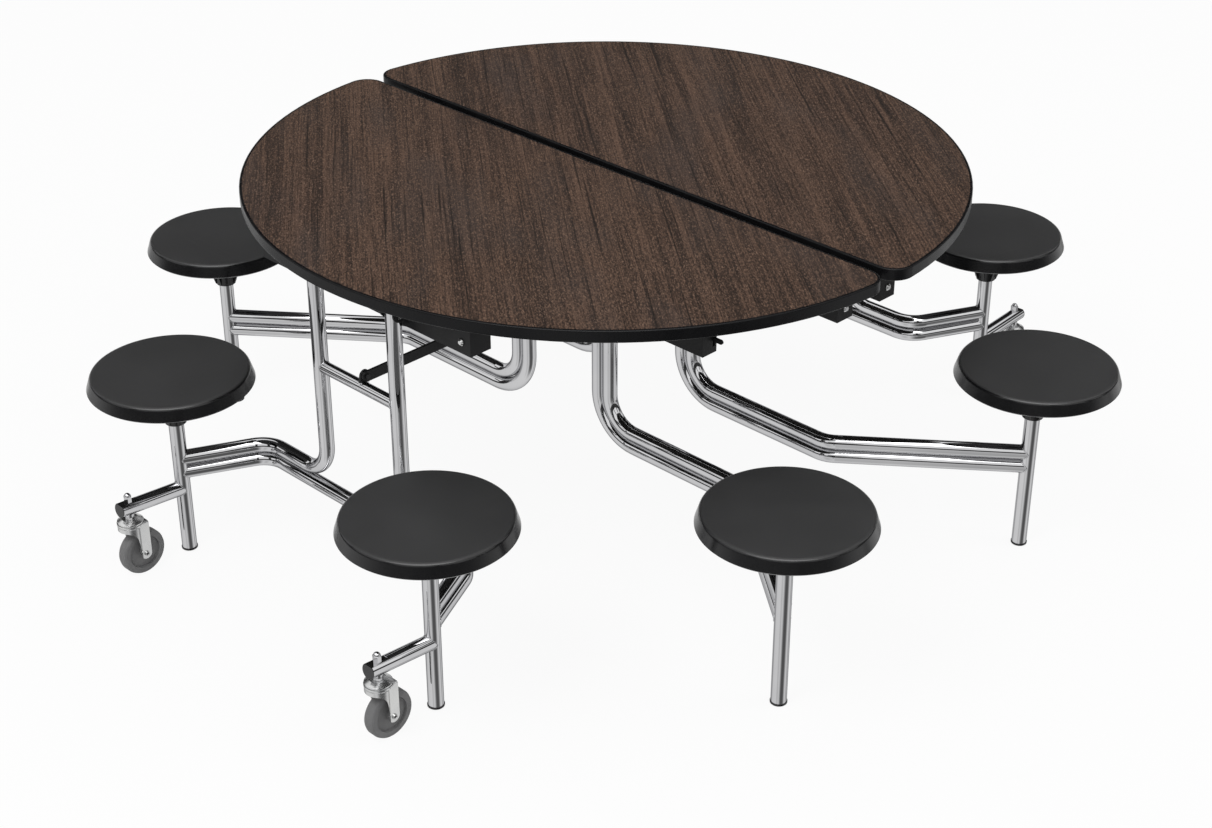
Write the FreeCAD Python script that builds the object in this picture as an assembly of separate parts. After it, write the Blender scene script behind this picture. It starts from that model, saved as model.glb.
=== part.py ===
import FreeCAD
import Part
import math
import os

# Folding round table with eight attached swivel stools, on four casters.
# Millimetres, +Z up, floor at Z = 0, origin on the floor under the table's centre.
# The two half tops meet along the Y axis. The west half is modelled; the east half is the same
# assembly turned half a turn about Z, and only the hinge knuckles differ.

# Table top
top_radius = 762.0
top_height = 737.0
top_thickness = 25.0
laminate_thickness = 1.0
split_gap = 20.0
corner_radius = 45.0
band_width = 6.0
band_round = 3.0

# Tubes of the frames
tube_diameter = 31.75
tube_wall = 2.0
tube_pair_gap = 0.5
bend_radius = 70.0
plan_bend_radius = 60.0
weld_gap = 0.05
crossbar_diameter = 25.4
crossbar_wall = 1.8

# Stools: places of the posts, and the seats
outer_stool_x = 862.0
outer_stool_y = 394.0
inner_stool_x = 394.0
inner_stool_y = 850.0
upper_arm_height = 223.0
seat_radius = 170.0
seat_height = 430.0
seat_side_height = 30.0
seat_side_draft = 18.0
seat_edge_round = 8.0
seat_foot_chamfer = 3.0
seat_rim_width = 12.0
seat_dish_depth = 10.0
hub_bottom_height = 310.0
hub_radius = 22.0
hub_draft = 3.0
hub_flare_radius = 55.0
hub_ribs = 8
hub_rib_thickness = 4.0
hub_rib_step = 2.0
dish_rib_depth = 7.0
post_top_wall = 12.0
swivel_clearance = 0.06
seat_rest_gap = 0.3
glide_height = 5.0
glide_rim = 1.2
glide_chamfer = 1.5
glide_plug_length = 22.0
outer_glide_lift = 3.0

# Outer frame: legs, stretcher and crossbar
outer_leg_x = 690.0
outer_leg_y = 117.0
outer_bend_y = 310.0
outer_crossbar_height = 480.0

# Inner frame: pairs of bent tubes
inner_leg_x = 130.0
inner_leg_y = 140.0
inner_bend_y = 520.0

# Fold pivots, brackets and links
pivot_drop = 30.0
pin_diameter = 12.0
pin_clearance = 0.06
pin_head_diameter = 16.0
pin_head_thickness = 4.0
leg_above_pivot = 12.0
bracket_plate = 4.0
bracket_base_length = 42.0
bracket_base_overhang = 12.0
bracket_ear_width = 32.0
bracket_side_gap = 0.6
link_width = 22.0
link_thickness = 6.0
link_bar_gap = 1.5
link_pivot_inset = 5.0
link_offset = 20.0
link_pin_diameter = 8.0
link_head_diameter = 11.0
link_head_thickness = 2.5
open_pin_clearance = 0.6
lug_plate = 5.0
lug_width = 24.0
lug_side_gap = 0.6

# Steel channels under each half
channel_wall = 2.5
channel_lip = 12.0
channel_drop = 66.0
leg_channel_x = 642.5
leg_channel_width = 51.0
leg_channel_end_y = 308.0
mid_channel_x = 350.0
mid_channel_width = 38.0
mid_channel_start_y = 190.0
mid_channel_end_y = 612.0
rail_width = 45.0
rail_inset = 42.0
rail_end_y = 700.0
bolt_head_diameter = 14.0
bolt_head_height = 5.0
bolt_rim_height = 2.0
bolt_crown_diameter = 8.0
bolt_from_end = 24.0
bolt_above_bottom = 24.0

# Centre hinges
hinge_positions = (-560.0, -250.0, 250.0, 560.0)
hinge_pin_diameter = 8.0
knuckle_radius = 7.0
knuckle_length = 26.0
knuckle_gap = 0.4
hinge_leaf_thickness = 3.0
hinge_leaf_height = 30.0

# Latch lever in the end of the mid channel
lever_thickness = 4.0
lever_reach = 22.0
lever_tail = 30.0
lever_depth = 14.0
lever_finger_depth = 9.0
lever_finger_length = 30.0
lever_pivot_inset = 20.0
lever_pin_diameter = 6.0
lever_wall_gap = 3.0
lever_slot_gap = 1.0
lever_slot_height = 34.0
lever_height_above_bottom = 30.0

# Caster arms and casters
stub_height = 152.0
stub_rise = 10.0
stub_flat_depth = 2.4
stub_flat_back = 20.0
caster_reach = 135.0
stub_beyond_caster = 21.0
stub_plug_depth = 10.0
stub_plug_face = 1.5
stem_diameter = 10.0
stem_collar_diameter = 20.0
saddle_depth = 3.0
nut_width = 15.0
nut_sides = 6
nut_base_height = 13.0
nut_dome_radius = 7.2
wheel_radius = 50.0
wheel_width = 24.0
tread_round = 5.0
wheel_rim_radius = 36.0
wheel_recess = 6.0
wheel_boss_radius = 9.0
wheel_boss_reach = 3.5
wheel_draft = 1.0
axle_diameter = 8.0
axle_clearance = 0.06
axle_head_diameter = 11.0
axle_head_height = 2.0
caster_trail = 18.0
fork_plate = 2.5
fork_side_gap = 4.5
fork_bend = 3.0
fork_top_height = 124.0
hood_radius = 27.5
hood_blend = 9.0
fork_skirt_depth = 12.0
fork_eye_radius = 12.5
fork_arch_front = 2.0
fork_arch_drop = 30.0
fork_arch_rise = 7.0
race_radius = 28.0
race_height = 13.0
race_dish_depth = 6.0
race_dish_radius = 21.0
race_lip_height = 4.0
race_groove_height = 1.5
race_groove_depth = 2.5
race_cap_inset = 1.0
race_cap_height = 2.5
race_crown_radius = 17.0
caster_stem_gap = 0.3

# Derived levels and radii
underside = top_height - top_thickness
pivot_height = underside - pivot_drop
tube_radius = tube_diameter / 2
pin_radius = pin_diameter / 2
pair_spacing = tube_diameter + tube_pair_gap
lower_arm_height = upper_arm_height - pair_spacing
half_gap = split_gap / 2
leg_top = pivot_height + leg_above_pivot
post_top = seat_height - post_top_wall - seat_rest_gap
channel_bottom = underside - channel_drop
outer_post_foot = outer_glide_lift + glide_height
link_pivot_rise = (crossbar_diameter + link_width) / 2 + link_bar_gap
link_height = outer_crossbar_height + link_pivot_rise
inner_crossbar_height = link_height + link_pivot_rise
hinge_height = channel_bottom

eps = 0.01
x_axis = FreeCAD.Vector(1, 0, 0)
y_axis = FreeCAD.Vector(0, 1, 0)
z_axis = FreeCAD.Vector(0, 0, 1)
centre = FreeCAD.Vector(0, 0, 0)


def vec(x, y, z):
    return FreeCAD.Vector(x, y, z)


def rod(start, direction, radius, length):
    return Part.makeCylinder(radius, length, start, direction)


def crossRod(x, z, radius, y0, y1):
    return rod(vec(x, y0, z), y_axis, radius, y1 - y0)


def block(x0, x1, y0, y1, z0, z1):
    low = vec(min(x0, x1), min(y0, y1), min(z0, z1))
    return Part.makeBox(abs(x1 - x0), abs(y1 - y0), abs(z1 - z0), low)


def turned(shape, angle, axis=z_axis, base=centre):
    copy = shape.copy()
    copy.rotate(base, axis, angle)
    return copy


def moved(shape, x, y, z=0.0):
    copy = shape.copy()
    copy.translate(vec(x, y, z))
    return copy


def mirroredY(shape):
    return shape.mirror(centre, y_axis)


def pairY(shape):
    return [shape, mirroredY(shape)]


def ring(point, direction, radius, wall):
    outer = Part.Wire(Part.Circle(point, direction, radius).toShape())
    inner = Part.Wire(Part.Circle(point, direction, radius - wall).toShape())
    return Part.makeFace([outer, inner], "Part::FaceMakerBullseye")


def bentTube(points, radii, diameter, wall):
    # Straight annular runs joined by revolved annular bends that are tangent to both runs.
    pieces = []
    start = points[0]
    for corner, after, radius in zip(points[1:-1], points[2:], radii):
        along = (corner - start).normalize()
        onward = (after - corner).normalize()
        turn = along.getAngle(onward)
        tangent = radius * math.tan(turn / 2)
        bend_start = corner - along * tangent
        bend_axis = along.cross(onward).normalize()
        bend_centre = bend_start + bend_axis.cross(along) * radius
        section = ring(start, along, diameter / 2, wall)
        pieces.append(section.extrude(bend_start - start))
        bend_section = ring(bend_start, along, diameter / 2, wall)
        pieces.append(bend_section.revolve(bend_centre, bend_axis, math.degrees(turn)))
        start = corner + onward * tangent
    along = (points[-1] - start).normalize()
    pieces.append(ring(start, along, diameter / 2, wall).extrude(points[-1] - start))
    return pieces[0].multiFuse(pieces[1:]).removeSplitter()


def hullPlate(x0, z0, r0, x1, z1, r1, y0, y1):
    # Plate in the XZ plane with two round ends joined by their outer tangents.
    length = math.hypot(x1 - x0, z1 - z0)
    ux = (x1 - x0) / length
    uz = (z1 - z0) / length
    lean = math.acos((r0 - r1) / length)
    corners = []
    for side in (1, -1):
        nx = ux * math.cos(lean) - side * uz * math.sin(lean)
        nz = uz * math.cos(lean) + side * ux * math.sin(lean)
        corners.append((vec(x0 + nx * r0, y0, z0 + nz * r0), vec(x1 + nx * r1, y0, z1 + nz * r1)))
    back = vec(x0 - ux * r0, y0, z0 - uz * r0)
    front = vec(x1 + ux * r1, y0, z1 + uz * r1)
    edges = [
        Part.LineSegment(corners[0][0], corners[0][1]).toShape(),
        Part.Arc(corners[0][1], front, corners[1][1]).toShape(),
        Part.LineSegment(corners[1][1], corners[1][0]).toShape(),
        Part.Arc(corners[1][0], back, corners[0][0]).toShape(),
    ]
    return Part.Face(Part.Wire(edges)).extrude(vec(0, y1 - y0, 0))


def halfDisc(radius, edge_x, corner, z0, z1):
    # D outline: arc about the table's centre, cut straight at X = -edge_x, its two corners rounded.
    fillet_x = -edge_x - corner
    fillet_y = math.sqrt((radius - corner) ** 2 - fillet_x ** 2)
    reach = radius / (radius - corner)
    arc_end = vec(fillet_x * reach, fillet_y * reach, z0)
    straight_end = vec(-edge_x, fillet_y, z0)
    middle = (vec(arc_end.x - fillet_x, arc_end.y - fillet_y, 0) + vec(corner, 0, 0)).normalize()
    corner_mid = vec(fillet_x + middle.x * corner, fillet_y + middle.y * corner, z0)
    low_arc_end = vec(arc_end.x, -arc_end.y, z0)
    low_straight_end = vec(straight_end.x, -straight_end.y, z0)
    low_corner_mid = vec(corner_mid.x, -corner_mid.y, z0)
    edges = [
        Part.Arc(low_arc_end, vec(-radius, 0, z0), arc_end).toShape(),
        Part.Arc(arc_end, corner_mid, straight_end).toShape(),
        Part.LineSegment(straight_end, low_straight_end).toShape(),
        Part.Arc(low_straight_end, low_corner_mid, low_arc_end).toShape(),
    ]
    return Part.Face(Part.Wire(edges)).extrude(vec(0, 0, z1 - z0))


def revolved(outline, base, axis):
    # Outline: list of points, or (mid, end) pairs for arcs, closed back to the first point.
    edges = []
    here = outline[0]
    for step in outline[1:] + [outline[0]]:
        if isinstance(step, tuple):
            edges.append(Part.Arc(here, step[0], step[1]).toShape())
            here = step[1]
        else:
            edges.append(Part.LineSegment(here, step).toShape())
            here = step
    return Part.Face(Part.Wire(edges)).revolve(base, axis, 360)


def arcPoint(cx, cz, radius, degrees, y=0.0):
    angle = math.radians(degrees)
    return vec(cx + radius * math.cos(angle), y, cz + radius * math.sin(angle))


# Table top: board, laminate face and moulded edge band
def topPieces():
    full = halfDisc(top_radius, half_gap, corner_radius, underside, top_height)
    outer_edges = []
    for edge in full.Edges:
        flat = abs(edge.BoundBox.ZMax - edge.BoundBox.ZMin) < eps
        if flat:
            outer_edges.append(edge)
    full = full.makeFillet(band_round, outer_edges)
    inner_corner = corner_radius - band_width
    inner_edge = half_gap + band_width
    inner_radius = top_radius - band_width
    laminate_bottom = top_height - laminate_thickness
    hole = halfDisc(inner_radius, inner_edge, inner_corner, underside - eps, top_height + eps)
    band = full.cut(hole)
    board = halfDisc(inner_radius, inner_edge, inner_corner, underside, laminate_bottom)
    laminate = halfDisc(inner_radius, inner_edge, inner_corner, laminate_bottom, top_height)
    return board, laminate, band


# Channels: C sections, closed at the ends, open side and lips up against the board
def channel(x_mid, width, y0, y1, bottom):
    outer = block(x_mid - width / 2, x_mid + width / 2, y0, y1, bottom, underside)
    inner_half = width / 2 - channel_wall
    room = block(
        x_mid - inner_half, x_mid + inner_half,
        y0 + channel_wall, y1 - channel_wall,
        bottom + channel_wall, underside - channel_wall,
    )
    mouth_half = inner_half - channel_lip
    mouth = block(
        x_mid - mouth_half, x_mid + mouth_half,
        y0 + channel_lip, y1 - channel_lip,
        bottom + channel_wall, underside + eps,
    )
    return outer.cut(room).cut(mouth)


def boltHead(x, y, z, direction):
    # Low round head with a conical crown.
    radius = bolt_head_diameter / 2
    base = vec(x, y, z)
    rim = rod(base, direction, radius, bolt_rim_height)
    crown_base = base + direction * bolt_rim_height
    crown_height = bolt_head_height - bolt_rim_height
    crown = Part.makeCone(radius, bolt_crown_diameter / 2, crown_height, crown_base, direction)
    return rim.fuse(crown)


# Pivot bracket: base plate under the board and two ears that straddle one tube, or a pair of tubes
def bracket(x_pivot, y_low, y_high):
    ear_low = y_low - tube_radius - bracket_side_gap
    ear_high = y_high + tube_radius + bracket_side_gap
    base = block(
        x_pivot - bracket_base_length / 2, x_pivot + bracket_base_length / 2,
        ear_low - bracket_base_overhang, ear_high + bracket_base_overhang,
        underside - bracket_plate, underside,
    )
    pieces = [base]
    for y0, y1 in ((ear_low - bracket_plate, ear_low), (ear_high, ear_high + bracket_plate)):
        ear = block(
            x_pivot - bracket_ear_width / 2, x_pivot + bracket_ear_width / 2,
            y0, y1, pivot_height, underside - bracket_plate,
        )
        foot = crossRod(x_pivot, pivot_height, bracket_ear_width / 2, y0, y1)
        pieces.append(ear.fuse(foot))
    body = pieces[0].multiFuse(pieces[1:])
    bore = crossRod(
        x_pivot, pivot_height, pin_radius + weld_gap,
        ear_low - bracket_plate - eps, ear_high + bracket_plate + eps,
    )
    return body.cut(bore).removeSplitter()


def pivotPin(x_pivot, y_low, y_high):
    start = y_low - tube_radius - bracket_side_gap - bracket_plate
    end = y_high + tube_radius + bracket_side_gap + bracket_plate
    shaft = crossRod(x_pivot, pivot_height, pin_radius, start, end)
    head = pin_head_diameter / 2
    low_head = crossRod(x_pivot, pivot_height, head, start - pin_head_thickness, start)
    high_head = crossRod(x_pivot, pivot_height, head, end, end + pin_head_thickness)
    return shaft.multiFuse([low_head, high_head])


def pinBore(x_pivot, y):
    reach = tube_radius + eps
    return crossRod(x_pivot, pivot_height, pin_radius + pin_clearance, y - reach, y + reach)


# Posts, glides and seats
def postAt(x, y, foot):
    outer = rod(vec(x, y, foot), z_axis, tube_radius, post_top - foot)
    bore = rod(vec(x, y, foot - eps), z_axis, tube_radius - tube_wall, post_top - foot + 2 * eps)
    return outer.cut(bore)


def glideAt(x, y, foot):
    # Plastic foot: a thin rim under the tube's end, bevelled at the floor, and a plug inside the tube.
    rim_radius = tube_radius + glide_rim
    floor = vec(x, y, foot - glide_height)
    bevel = Part.makeCone(rim_radius - glide_chamfer, rim_radius, glide_chamfer, floor, z_axis)
    rim = rod(floor + z_axis * glide_chamfer, z_axis, rim_radius, glide_height - glide_chamfer)
    plug_radius = tube_radius - tube_wall - weld_gap
    plug = rod(vec(x, y, foot - eps), z_axis, plug_radius, glide_plug_length)
    return rim.multiFuse([bevel, plug])


def seat():
    # Moulded stool seat about the Z axis: flat disc whose side flares out below a rounded edge, with a
    # shallow dished underside, a sleeve that turns on the post, and ribs that flare into the dish.
    side_bottom = seat_height - seat_side_height
    ceiling = side_bottom + seat_dish_depth
    draft = math.radians(seat_side_draft)
    side_foot = side_bottom + seat_foot_chamfer
    round_z = seat_height - seat_edge_round
    side_top = round_z + seat_edge_round * math.sin(draft)
    side_top_x = seat_radius - (side_top - side_foot) * math.tan(draft)
    round_x = side_top_x - seat_edge_round * math.cos(draft)
    round_mid = (seat_side_draft + 90) / 2
    rim_inner = seat_radius - seat_rim_width
    outline = [
        vec(0, 0, seat_height),
        vec(round_x, 0, seat_height),
        (arcPoint(round_x, round_z, seat_edge_round, round_mid), vec(side_top_x, 0, side_top)),
        vec(seat_radius, 0, side_foot),
        vec(seat_radius - seat_foot_chamfer, 0, side_bottom),
        vec(rim_inner, 0, side_bottom),
        vec(rim_inner - seat_dish_depth, 0, ceiling),
        vec(hub_radius + hub_draft, 0, ceiling),
        vec(hub_radius, 0, hub_bottom_height),
        vec(0, 0, hub_bottom_height),
    ]
    body = revolved(outline, centre, z_axis)
    rib_low = hub_bottom_height + hub_rib_step
    rib_root = hub_radius - hub_rib_thickness
    dish_rib_low = ceiling - dish_rib_depth
    rib_top = ceiling + hub_rib_step
    rib_profile = [
        vec(rib_root, 0, rib_low),
        vec(hub_radius + hub_rib_step, 0, rib_low),
        vec(hub_flare_radius, 0, dish_rib_low),
        vec(rim_inner, 0, dish_rib_low),
        vec(rim_inner, 0, rib_top),
        vec(rib_root, 0, rib_top),
    ]
    rib_face = Part.Face(Part.makePolygon(rib_profile + [rib_profile[0]]))
    rib = moved(rib_face.extrude(vec(0, hub_rib_thickness, 0)), 0, -hub_rib_thickness / 2)
    ribs = []
    for index in range(hub_ribs):
        ribs.append(turned(rib, 360 / hub_ribs * (index + 0.5)))
    body = body.multiFuse(ribs)
    bore_top = post_top + seat_rest_gap
    bore = rod(
        vec(0, 0, hub_bottom_height - eps), z_axis,
        tube_radius + swivel_clearance, bore_top - hub_bottom_height + eps,
    )
    return body.cut(bore).removeSplitter()


# Outer frame: two bent legs, one bent stretcher, crossbar, posts and caster arms
def outerLeg():
    points = [
        vec(-outer_leg_x, outer_leg_y, leg_top),
        vec(-outer_leg_x, outer_leg_y, upper_arm_height),
        vec(-outer_leg_x, outer_bend_y, upper_arm_height),
        vec(-outer_stool_x, outer_stool_y, upper_arm_height),
    ]
    tube = bentTube(points, (bend_radius, plan_bend_radius), tube_diameter, tube_wall)
    tube = tube.cut(postRoom(-outer_stool_x, outer_stool_y))
    return tube.cut(pinBore(-outer_leg_x, outer_leg_y))


def postRoom(x, y):
    # Space that the post takes out of the end of a tube welded to it.
    low = lower_arm_height - tube_diameter
    return rod(vec(x, y, low), z_axis, tube_radius + weld_gap, pair_spacing + 2 * tube_diameter)


def outerStretcher():
    points = [
        vec(-outer_stool_x, outer_stool_y, lower_arm_height),
        vec(-outer_leg_x, outer_bend_y, lower_arm_height),
        vec(-outer_leg_x, -outer_bend_y, lower_arm_height),
        vec(-outer_stool_x, -outer_stool_y, lower_arm_height),
    ]
    tube = bentTube(points, (plan_bend_radius, plan_bend_radius), tube_diameter, tube_wall)
    for side in (1, -1):
        tube = tube.cut(postRoom(-outer_stool_x, side * outer_stool_y))
    return tube


def crossbar(x, half_length, z):
    radius = crossbar_diameter / 2
    outer = crossRod(x, z, radius, -half_length, half_length)
    bore = crossRod(x, z, radius - crossbar_wall, -half_length - eps, half_length + eps)
    return outer.cut(bore)


def lug(x, z, rise):
    # Upright plate welded on the crossbar, beside the link.
    pivot_x = x + link_pivot_inset
    pivot_z = z + rise
    y0 = -link_offset + link_thickness / 2 + lug_side_gap
    y1 = y0 + lug_plate
    plate = hullPlate(x, z, lug_width / 2, pivot_x, pivot_z, lug_width / 2, y0, y1)
    plate = plate.cut(crossRod(x, z, crossbar_diameter / 2 + weld_gap, y0 - eps, y1 + eps))
    return plate.cut(crossRod(pivot_x, pivot_z, link_pin_diameter / 2 + weld_gap, y0 - eps, y1 + eps))


def lugPin(x, z, rise):
    # Pin through the lug and the link, with a head on the link's side and a riveted end on the lug's.
    pivot_x = x + link_pivot_inset
    pivot_z = z + rise
    y0 = -link_offset - link_thickness / 2 - lug_side_gap
    y1 = -link_offset + link_thickness / 2 + lug_side_gap + lug_plate
    shaft = crossRod(pivot_x, pivot_z, link_pin_diameter / 2, y0, y1)
    head_radius = link_head_diameter / 2
    head = crossRod(pivot_x, pivot_z, head_radius, y0 - link_head_thickness, y0)
    rivet = crossRod(pivot_x, pivot_z, head_radius, y1, y1 + link_head_thickness)
    return shaft.multiFuse([head, rivet])


def crossbarWithLug(x, leg_y, z, rise):
    # The bar's ends are coped to the leg tubes that they are welded to; the link hangs from the inner
    # bar and lies on the outer one, so that neither bar stands in its way when the table folds.
    bar = crossbar(x, leg_y, z)
    for side in (1, -1):
        leg = rod(vec(x, side * leg_y, z - tube_diameter), z_axis, tube_radius + weld_gap, 2 * tube_diameter)
        bar = bar.cut(leg)
    return [bar, lug(x, z, rise), lugPin(x, z, rise)]


# Caster arm: rises a little outward; its axis meets the caster's at stubStem()
def stubSlope():
    return vec(-caster_reach, 0, stub_rise).normalize()


def stubStem():
    return vec(-outer_stool_x - caster_reach, outer_stool_y, stub_height + stub_rise)


def stubTop():
    # Height of the flat on the arm's top that the caster's nut sits on.
    slope = stubSlope()
    return stubStem().z + tube_radius / abs(slope.x) - stub_flat_depth


def aboveFlat(height, back):
    # Everything over a height, from beyond the arm's end to a distance behind the stem.
    stem = stubStem()
    x0 = stem.x - tube_diameter - stub_beyond_caster
    return block(
        x0, stem.x + back, stem.y - tube_diameter, stem.y + tube_diameter, height, height + tube_diameter
    )


def casterArm():
    # Straight arm welded to the post; the caster's stem goes through it near its open end.
    slope = stubSlope()
    length = (caster_reach + stub_beyond_caster) / abs(slope.x)
    post_axis = vec(-outer_stool_x, outer_stool_y, stub_height)
    arm = rod(post_axis, slope, tube_radius, length).cut(aboveFlat(stubTop(), stub_flat_back))
    bore = rod(post_axis - slope * eps, slope, tube_radius - tube_wall, length + 2 * eps)
    arm = arm.cut(bore.cut(aboveFlat(stubTop() - tube_wall, stub_flat_back + tube_wall)))
    post_low = vec(-outer_stool_x, outer_stool_y, stub_height - tube_diameter)
    arm = arm.cut(rod(post_low, z_axis, tube_radius + weld_gap, 2 * tube_diameter))
    stem_room = stubStem() - z_axis * tube_diameter
    return arm.cut(rod(stem_room, z_axis, stem_diameter / 2 + weld_gap, 2 * tube_diameter))


def nutPrism(width, height, base_z):
    turn = 2 * math.pi / nut_sides
    corner = width / 2 / math.cos(turn / 2)
    points = []
    for index in range(nut_sides):
        angle = turn * index
        points.append(vec(corner * math.cos(angle), corner * math.sin(angle), base_z))
    return Part.Face(Part.makePolygon(points + [points[0]])).extrude(z_axis * height)


def casterStem():
    # Caster stem through the arm, seated on a collar below and held by a domed nut on the arm's flat.
    axis_point = stubStem()
    slope = stubSlope()
    collar_bottom = fork_top_height + race_height + caster_stem_gap
    collar_top = axis_point.z - tube_radius / abs(slope.x) + saddle_depth
    nut_base = stubTop() + weld_gap
    base = vec(axis_point.x, axis_point.y, collar_bottom)
    stem = rod(base, z_axis, stem_diameter / 2, nut_base - collar_bottom + nut_base_height / 2)
    collar = rod(base, z_axis, stem_collar_diameter / 2, collar_top - collar_bottom)
    arm_room = rod(axis_point - slope * tube_diameter, slope, tube_radius + weld_gap, 2 * tube_diameter)
    nut = moved(nutPrism(nut_width, nut_base_height, nut_base), axis_point.x, axis_point.y)
    dome = Part.makeSphere(nut_dome_radius, vec(axis_point.x, axis_point.y, nut_base + nut_base_height))
    return stem.multiFuse([collar.cut(arm_room), nut, dome]).removeSplitter()


def stubPlug():
    # End plug: a face as wide as the arm, flattened with it, and a body inside the bore.
    slope = stubSlope()
    length = (caster_reach + stub_beyond_caster) / abs(slope.x)
    arm_end = vec(-outer_stool_x, outer_stool_y, stub_height) + slope * length
    plug_radius = tube_radius - tube_wall - weld_gap
    face = rod(arm_end, slope, tube_radius, stub_plug_face).cut(aboveFlat(stubTop(), 0.0))
    body = rod(arm_end, slope * -1, plug_radius, stub_plug_depth)
    body = body.cut(aboveFlat(stubTop() - tube_wall - weld_gap, 0.0))
    return face.fuse(body)


# Inner frame: each arm is a pair of tubes with concentric bends
def innerTubes():
    outer_bend = bend_radius + pair_spacing
    runs = (
        (inner_leg_y, upper_arm_height, bend_radius),
        (inner_leg_y - pair_spacing, lower_arm_height, outer_bend),
    )
    tubes = []
    for leg_y, height, radius in runs:
        points = [
            vec(-inner_leg_x, leg_y, leg_top),
            vec(-inner_leg_x, leg_y, height),
            vec(-inner_leg_x, inner_bend_y, height),
            vec(-inner_stool_x, inner_stool_y, height),
        ]
        tube = bentTube(points, (radius, plan_bend_radius), tube_diameter, tube_wall)
        tube = tube.cut(postRoom(-inner_stool_x, inner_stool_y))
        tubes.append(tube.cut(pinBore(-inner_leg_x, leg_y)))
    return tubes


# Link of the parallelogram: flat bar between the two crossbars
def link():
    x0 = -outer_leg_x + link_pivot_inset
    x1 = -inner_leg_x + link_pivot_inset
    y0 = -link_offset - link_thickness / 2
    y1 = y0 + link_thickness
    bar = hullPlate(x0, link_height, link_width / 2, x1, link_height, link_width / 2, y0, y1)
    running = link_pin_diameter / 2 + pin_clearance
    opened = link_pin_diameter / 2 + open_pin_clearance
    bar = bar.cut(crossRod(x0, link_height, running, y0 - eps, y1 + eps))
    return bar.cut(crossRod(x1, link_height, opened, y0 - eps, y1 + eps))


# Centre hinges level with the rails' bottoms; the west leaves carry the pins and the outer two knuckles
def hingeLeaf(y, knuckle_rows, with_pin):
    pieces = []
    plate_x = -rail_inset
    step = knuckle_length + knuckle_gap
    span = 3 * knuckle_length + 2 * knuckle_gap
    leaf = block(
        plate_x, plate_x + hinge_leaf_thickness, y - span / 2, y + span / 2,
        hinge_height + knuckle_gap, hinge_height + hinge_leaf_height,
    )
    pieces.append(leaf)
    for row in knuckle_rows:
        y0 = y + row * step - knuckle_length / 2
        y1 = y0 + knuckle_length
        barrel = crossRod(0, hinge_height, knuckle_radius, y0, y1)
        tongue = block(
            plate_x, 0, y0, y1,
            hinge_height + knuckle_radius - hinge_leaf_thickness, hinge_height + knuckle_radius,
        )
        pieces.append(barrel)
        pieces.append(tongue)
    body = pieces[0].multiFuse(pieces[1:])
    pin_radius_hinge = hinge_pin_diameter / 2
    if with_pin:
        pin = crossRod(0, hinge_height, pin_radius_hinge, y - span / 2, y + span / 2)
        body = body.fuse(pin)
    else:
        bore = crossRod(0, hinge_height, pin_radius_hinge + pin_clearance, y - span / 2, y + span / 2)
        body = body.cut(bore)
    return body.removeSplitter()


# Edge rail: channel beside the split that carries the hinge leaves
def edgeRail():
    x_mid = -rail_inset - rail_width / 2
    return channel(x_mid, rail_width, -rail_end_y, rail_end_y, channel_bottom)


# Latch lever: hook that reaches out of the end of the mid channel
def leverPivot():
    return mid_channel_end_y - lever_pivot_inset, channel_bottom + lever_height_above_bottom


def leverPlaneX():
    return mid_channel_x - mid_channel_width / 2 + channel_wall + lever_wall_gap + lever_thickness / 2


def latchLever():
    # Flat bar on a cross pin, stepped down to a round-ended finger that passes through the end wall.
    pivot_y, pivot_z = leverPivot()
    tip_y = mid_channel_end_y + lever_reach
    half = lever_thickness / 2
    top = pivot_z + lever_depth / 2
    bottom = pivot_z - lever_depth / 2
    finger_top = bottom + lever_finger_depth
    finger_round = lever_finger_depth / 2
    finger_start = tip_y - lever_finger_length
    points = [
        vec(-half, tip_y - finger_round, bottom),
        vec(-half, pivot_y - lever_tail, bottom),
        vec(-half, pivot_y - lever_tail, top),
        vec(-half, finger_start, top),
        vec(-half, finger_start + lever_depth - lever_finger_depth, finger_top),
        vec(-half, tip_y - finger_round, finger_top),
    ]
    edges = []
    for here, after in zip(points[:-1], points[1:]):
        edges.append(Part.LineSegment(here, after).toShape())
    tip = vec(-half, tip_y, bottom + finger_round)
    edges.append(Part.Arc(points[-1], tip, points[0]).toShape())
    plate = Part.Face(Part.Wire(edges)).extrude(vec(lever_thickness, 0, 0))
    bore_radius = lever_pin_diameter / 2 + pin_clearance
    bore = rod(vec(-half - eps, pivot_y, pivot_z), x_axis, bore_radius, lever_thickness + 2 * eps)
    return moved(plate.cut(bore), -leverPlaneX(), 0)


def leverSlot():
    # Slot in the channel's end wall, with room for the lever's swing.
    pivot_z = leverPivot()[1]
    half = lever_thickness / 2 + lever_slot_gap
    low = pivot_z - lever_slot_height / 2
    return block(
        -leverPlaneX() - half, -leverPlaneX() + half,
        mid_channel_end_y - channel_wall - eps, mid_channel_end_y + eps,
        low, low + lever_slot_height,
    )


def leverPin():
    pivot_y, pivot_z = leverPivot()
    half = mid_channel_width / 2 - channel_wall
    return rod(vec(-mid_channel_x - half, pivot_y, pivot_z), x_axis, lever_pin_diameter / 2, 2 * half)


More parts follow.
